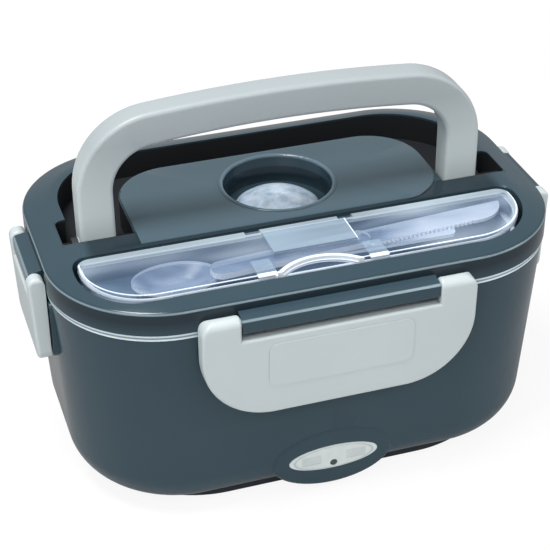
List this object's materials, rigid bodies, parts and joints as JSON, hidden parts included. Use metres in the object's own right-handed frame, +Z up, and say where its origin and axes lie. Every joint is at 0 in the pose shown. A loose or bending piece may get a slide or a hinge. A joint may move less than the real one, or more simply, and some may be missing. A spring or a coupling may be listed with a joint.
{
  "type": "electric lunch box",
  "caption": "Electric lunch box with a latched lift-off lid, folding carry handle, steam vent plug, cutlery case, steel tray and heated base.",
  "frame": {"origin": "on the surface that the feet stand on, under the middle of the box", "axes": "+X along the long side to the right, -Y towards the indicator and the long front latch, +Z up"},
  "size_m": [0.2324, 0.1546, 0.167],
  "materials": {
    "slate_plastic": "glossy injection-moulded polypropylene",
    "dark_plastic": "fine matt texture",
    "grey_plastic": "satin",
    "milky_silicone": "smooth translucent silicone",
    "black_rubber": "matt",
    "clear_plastic": "clear polished polystyrene",
    "milky_plastic": "translucent white polypropylene",
    "indicator_plastic": "smooth pale plate",
    "smoked_lens": "smoked clear rod",
    "stainless_steel": "fine brushed",
    "zinc_steel": "bright zinc",
    "aluminium_plate": "rolled",
    "nickel_brass": "nickel plated",
    "board_green": "solder mask",
    "cutoff_body": "glazed ceramic",
    "red_insulation": "wire insulation",
    "white_insulation": "wire insulation"
  },
  "bodies": {
    "root": {"outer_housing": "slate_plastic", "bottom_cover": "dark_plastic", "rubber_feet": "black_rubber", "cover_screws": "zinc_steel", "heating_plate": "aluminium_plate", "ptc_heater_ac": "aluminium_plate", "ptc_heater_dc": "aluminium_plate", "heater_straps": "zinc_steel", "strap_screws": "zinc_steel", "thermal_cutoff": "cutoff_body", "indicator_plate": "indicator_plastic", "indicator_lens": "smoked_lens", "indicator_board": "board_green", "ac_inlet": "dark_plastic", "ac_pins": "nickel_brass", "dc_inlet": "dark_plastic", "dc_pin": "nickel_brass", "lead_ac_live": "red_insulation", "lead_ac_neutral": "white_insulation", "lead_dc": "red_insulation", "lead_indicator": "white_insulation"},
    "inlet_cover": {"inlet_cover": "dark_plastic", "inlet_cover_pin": "stainless_steel"},
    "tray": {"food_tray": "stainless_steel"},
    "lid": {"lid_shell": "slate_plastic", "lid_liner": "dark_plastic", "seal_ring": "milky_silicone"},
    "handle": {"handle": "grey_plastic", "handle_pins": "stainless_steel"},
    "latch_front": {"latch_front": "grey_plastic"},
    "latch_back": {"latch_back": "grey_plastic"},
    "latch_left": {"latch_left": "grey_plastic"},
    "latch_right": {"latch_right": "grey_plastic"},
    "vent_plug": {"vent_plug": "milky_silicone"},
    "cutlery_case": {"cutlery_case": "clear_plastic", "spoon": "milky_plastic", "knife": "milky_plastic"},
    "case_lid": {"case_lid": "clear_plastic"}
  },
  "joints": [
    {"name": "lid_lift", "type": "slide", "parent": "root", "child": "lid", "axis": [0, 0, 1], "range_m": [0, 0.15]},
    {"name": "tray_lift", "type": "slide", "parent": "root", "child": "tray", "axis": [0, 0, 1], "range_m": [0, 0.07]},
    {"name": "inlet_cover_open", "type": "hinge", "parent": "root", "child": "inlet_cover", "pos_m": [0, 0.0708, 0.0324], "axis": [1, 0, 0], "range_deg": [0, 140]},
    {"name": "handle_fold", "type": "hinge", "parent": "lid", "child": "handle", "pos_m": [0, -0.0064, 0.10515], "axis": [-1, 0, 0], "range_deg": [0, 90]},
    {"name": "latch_front_open", "type": "hinge", "parent": "lid", "child": "latch_front", "pos_m": [0, -0.0738, 0.0998], "axis": [-1, 0, 0], "range_deg": [0, 105]},
    {"name": "latch_back_open", "type": "hinge", "parent": "lid", "child": "latch_back", "pos_m": [0, 0.0738, 0.0998], "axis": [1, 0, 0], "range_deg": [0, 105]},
    {"name": "latch_left_open", "type": "hinge", "parent": "lid", "child": "latch_left", "pos_m": [-0.1127, 0, 0.0998], "axis": [0, 1, 0], "range_deg": [0, 105]},
    {"name": "latch_right_open", "type": "hinge", "parent": "lid", "child": "latch_right", "pos_m": [0.1127, 0, 0.0998], "axis": [0, -1, 0], "range_deg": [0, 105]},
    {"name": "vent_plug_lift", "type": "slide", "parent": "lid", "child": "vent_plug", "axis": [0, 0, 1], "range_m": [0, 0.012]},
    {"name": "case_lift", "type": "slide", "parent": "lid", "child": "cutlery_case", "axis": [0, 0, 1], "range_m": [0, 0.04]},
    {"name": "case_lid_open", "type": "hinge", "parent": "cutlery_case", "child": "case_lid", "pos_m": [0, -0.0275, 0.1098], "axis": [-1, 0, 0], "range_deg": [0, 95]}
  ],
  "couplings": [
    {"joint": "tray_lift", "follows": "lid_lift", "ratio": 0.45}
  ]
}
